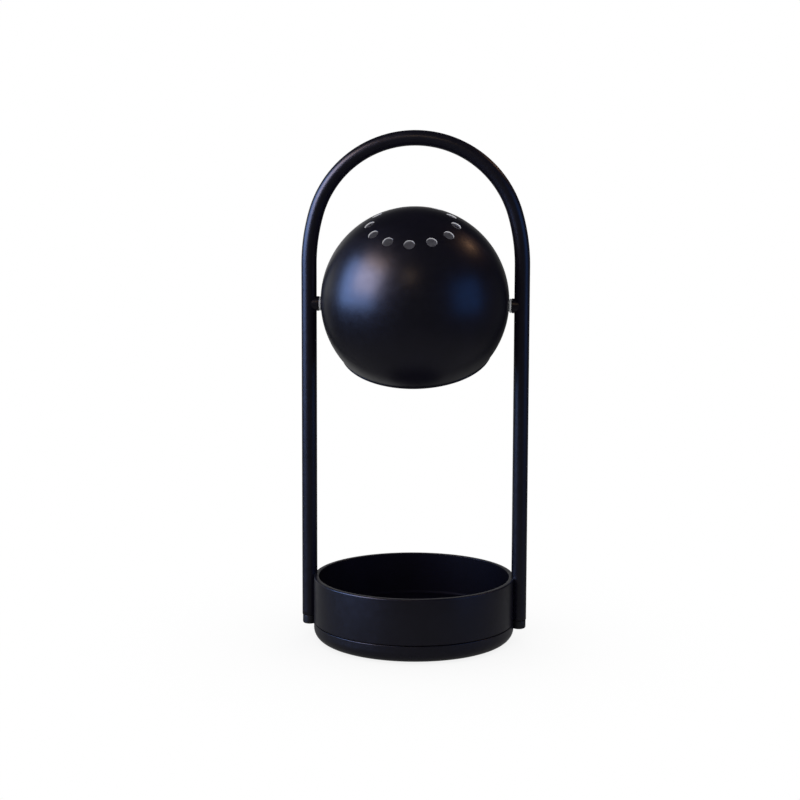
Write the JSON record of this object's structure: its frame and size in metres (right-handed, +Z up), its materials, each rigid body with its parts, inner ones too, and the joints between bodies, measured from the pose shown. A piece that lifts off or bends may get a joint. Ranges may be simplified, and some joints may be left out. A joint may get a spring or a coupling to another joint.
{
  "type": "portable table lamp",
  "caption": "Portable table lamp: a vented ball shade tilts between the legs of a bent-tube arch on a round tray base, with a battery and a push button in the base.",
  "frame": {"origin": "on the table, under the centre of the round base", "axes": "+Z up, +X to the right along the pivot axis of the shade, -Y to the front, where the shade's vents lean at rest; the button is at the back, towards +Y"},
  "size_m": [0.1458, 0.1296, 0.3282],
  "materials": {
    "black_coat": "satin black powder coat",
    "shade_coat": "satin black powder coat on spun aluminium",
    "black_plastic": "fine moulded texture",
    "rubber": "matt",
    "steel": "zinc plated",
    "dark_steel": "black oxide",
    "aluminium": "bare",
    "pale_nylon": "natural nylon",
    "opal": "frosted opal",
    "board": "solder resist",
    "white_lacquer": "white",
    "white_board": "white lacquer on a metal core",
    "phosphor": "silicone with phosphor",
    "cell": "pouch foil",
    "sheath": "soft sheath"
  },
  "bodies": {
    "stand": {"arch_tube": "black_coat", "right_leg_plug": "black_plastic", "left_leg_plug": "black_plastic", "tray": "black_coat", "right_leg_screw_1": "dark_steel", "right_leg_screw_2": "dark_steel", "left_leg_screw_1": "dark_steel", "left_leg_screw_2": "dark_steel", "right_nut_bar": "steel", "left_nut_bar": "steel", "lower_housing": "black_coat", "base_screw_1": "dark_steel", "base_screw_2": "dark_steel", "base_screw_3": "dark_steel", "base_screw_4": "dark_steel", "foot_ring": "rubber", "ballast_plate": "steel", "battery_pack": "cell", "control_board": "board", "board_screw_1": "dark_steel", "board_screw_2": "dark_steel", "charging_socket": "steel", "switch_body": "black_plastic", "right_saddle_spacer": "black_coat", "left_saddle_spacer": "black_coat", "right_pivot_pin": "steel", "left_pivot_pin": "steel", "right_friction_washer": "steel", "left_friction_washer": "steel", "right_pivot_nut": "steel", "left_pivot_nut": "steel", "stand_lead": "sheath"},
    "button": {"power_button": "black_plastic"},
    "shade": {"shade_shell": "shade_coat", "right_pivot_boss": "aluminium", "left_pivot_boss": "aluminium", "right_pivot_bush": "pale_nylon", "left_pivot_bush": "pale_nylon", "lamp_bracket": "steel", "sink_screw_1": "dark_steel", "sink_screw_2": "dark_steel", "heat_sink": "aluminium", "led_board": "white_board", "led_emitter": "phosphor", "opal_lens": "opal", "lens_ring": "white_lacquer", "lens_screw_1": "steel", "lens_screw_2": "steel", "lens_screw_3": "steel", "shade_lead": "sheath"}
  },
  "joints": [
    {"name": "shade_tilt", "type": "hinge", "parent": "stand", "child": "shade", "pos_m": [0, 0, 0.2177], "axis": [1, 0, 0], "range_deg": [-112.5, 67.5]},
    {"name": "power_button_press", "type": "slide", "parent": "stand", "child": "button", "axis": [0, -1, 0], "range_m": [0, 0.001], "stiffness_N_per_m": 400, "springref_m": -0.001}
  ]
}
